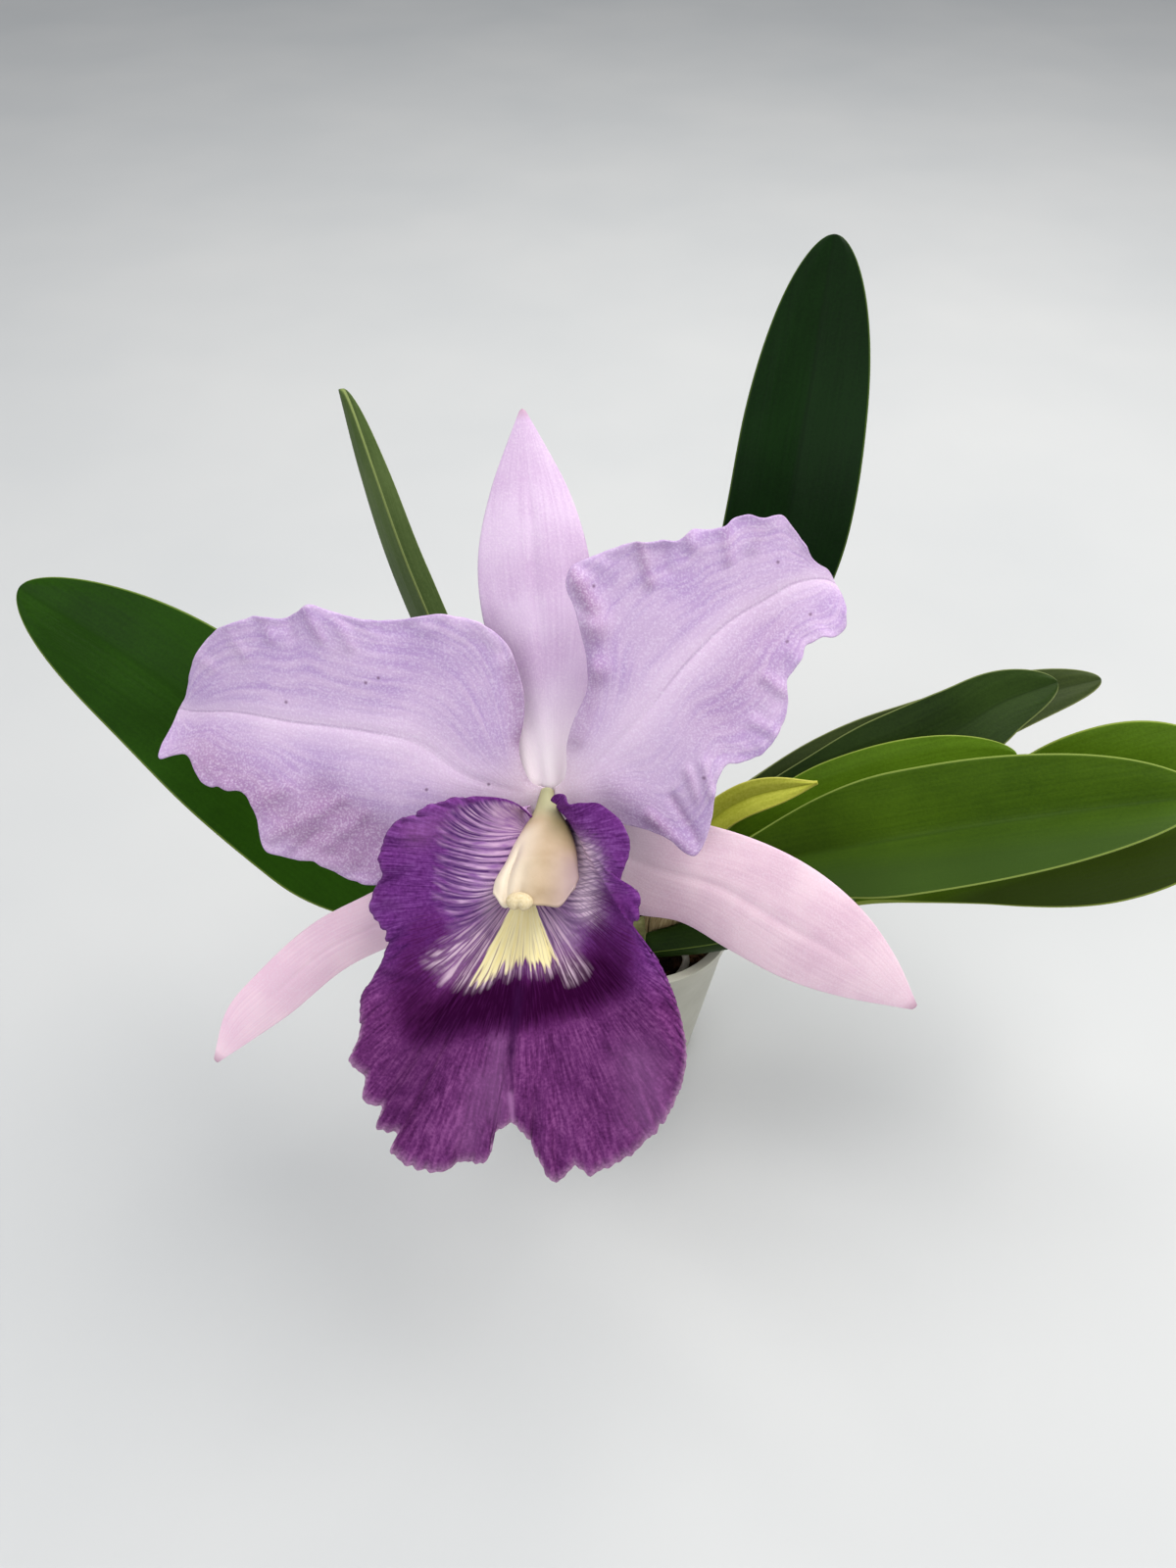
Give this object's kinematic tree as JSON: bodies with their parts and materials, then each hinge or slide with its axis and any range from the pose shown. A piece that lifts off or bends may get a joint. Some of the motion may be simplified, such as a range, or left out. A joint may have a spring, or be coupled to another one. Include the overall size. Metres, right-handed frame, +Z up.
{
  "type": "potted orchid",
  "caption": "Cattleya orchid with a large lilac flower and a ruffled purple lip, broad strap leaves on short pseudobulbs, in a small tapered pale pot of bark",
  "frame": {"origin": "centre of the pot's base, on the surface that the pot stands on", "axes": "+Z is up, the flower faces -Y and looks up 30 degrees, and +X is the right-hand side seen from the front"},
  "size_m": [0.2611, 0.158, 0.2075],
  "materials": {
    "pot": "satin",
    "bark": "matte",
    "rhizome": "matte",
    "pseudobulb": "satin",
    "leaf": "satin",
    "new_growth": "satin",
    "stem": "satin",
    "sheath": "matte",
    "sepal": "matte",
    "petal": "matte",
    "lip": "matte",
    "column": "satin"
  },
  "bodies": {
    "root": {"pot": "pot", "potting_mix": "bark", "rhizome": "rhizome", "pseudobulb_left": "pseudobulb", "pseudobulb_flowering": "pseudobulb", "pseudobulb_back": "pseudobulb", "pseudobulb_middle": "pseudobulb", "pseudobulb_inner": "pseudobulb", "pseudobulb_right": "pseudobulb", "pseudobulb_long": "pseudobulb", "leaf_left_broad": "leaf", "leaf_left_upright": "leaf", "leaf_back_tall": "leaf", "leaf_right_front": "leaf", "leaf_right_middle": "leaf", "leaf_right_dark": "leaf", "leaf_right_far": "leaf", "leaf_right_low": "leaf", "new_growth": "new_growth", "flower_stem": "stem", "flower_sheath": "sheath", "sepal_dorsal": "sepal", "sepal_left": "sepal", "sepal_right": "sepal", "petal_left": "petal", "petal_right": "petal", "lip": "lip", "column": "column", "anther_cap": "column"}
  },
  "joints": []
}
